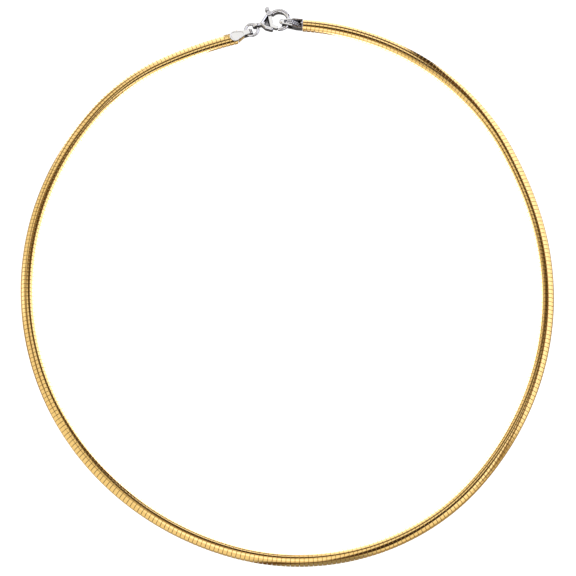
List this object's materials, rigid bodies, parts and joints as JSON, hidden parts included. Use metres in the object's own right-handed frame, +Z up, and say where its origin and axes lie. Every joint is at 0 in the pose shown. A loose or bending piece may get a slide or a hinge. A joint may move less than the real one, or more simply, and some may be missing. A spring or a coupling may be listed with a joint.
{
  "type": "omega necklace",
  "caption": "Omega collar necklace of domed gold plates on a woven core, closed by silver end caps, a jump ring and a sprung lobster clasp.",
  "frame": {"origin": "middle of the necklace in plan, at the level that its flat underside rests on", "axes": "+Y from the middle towards the clasp, +Z up out of the domed side, +X to the right as the picture shows it"},
  "size_m": [0.1394, 0.1568, 0.0024],
  "materials": {
    "gold": "polished gold plate",
    "silver": "polished silver",
    "silver_weave": "fine woven silver"
  },
  "bodies": {
    "collar": {"omega_chain": "gold", "core_band": "silver_weave", "core_end": "silver_weave", "left_end_plate": "gold", "left_end_cap": "silver", "right_end_cap": "silver", "jump_ring": "silver", "clasp_body": "silver", "clasp_pin": "silver"},
    "lever": {"clasp_lever": "silver"}
  },
  "joints": [
    {"name": "clasp lever", "type": "hinge", "parent": "collar", "child": "lever", "pos_m": [-0.00487, 0.0765, 0.0011], "axis": [0, 0, 1], "range_deg": [0, 14], "stiffness_Nm_per_rad": 0.0003, "springref_deg": -17.19}
  ]
}
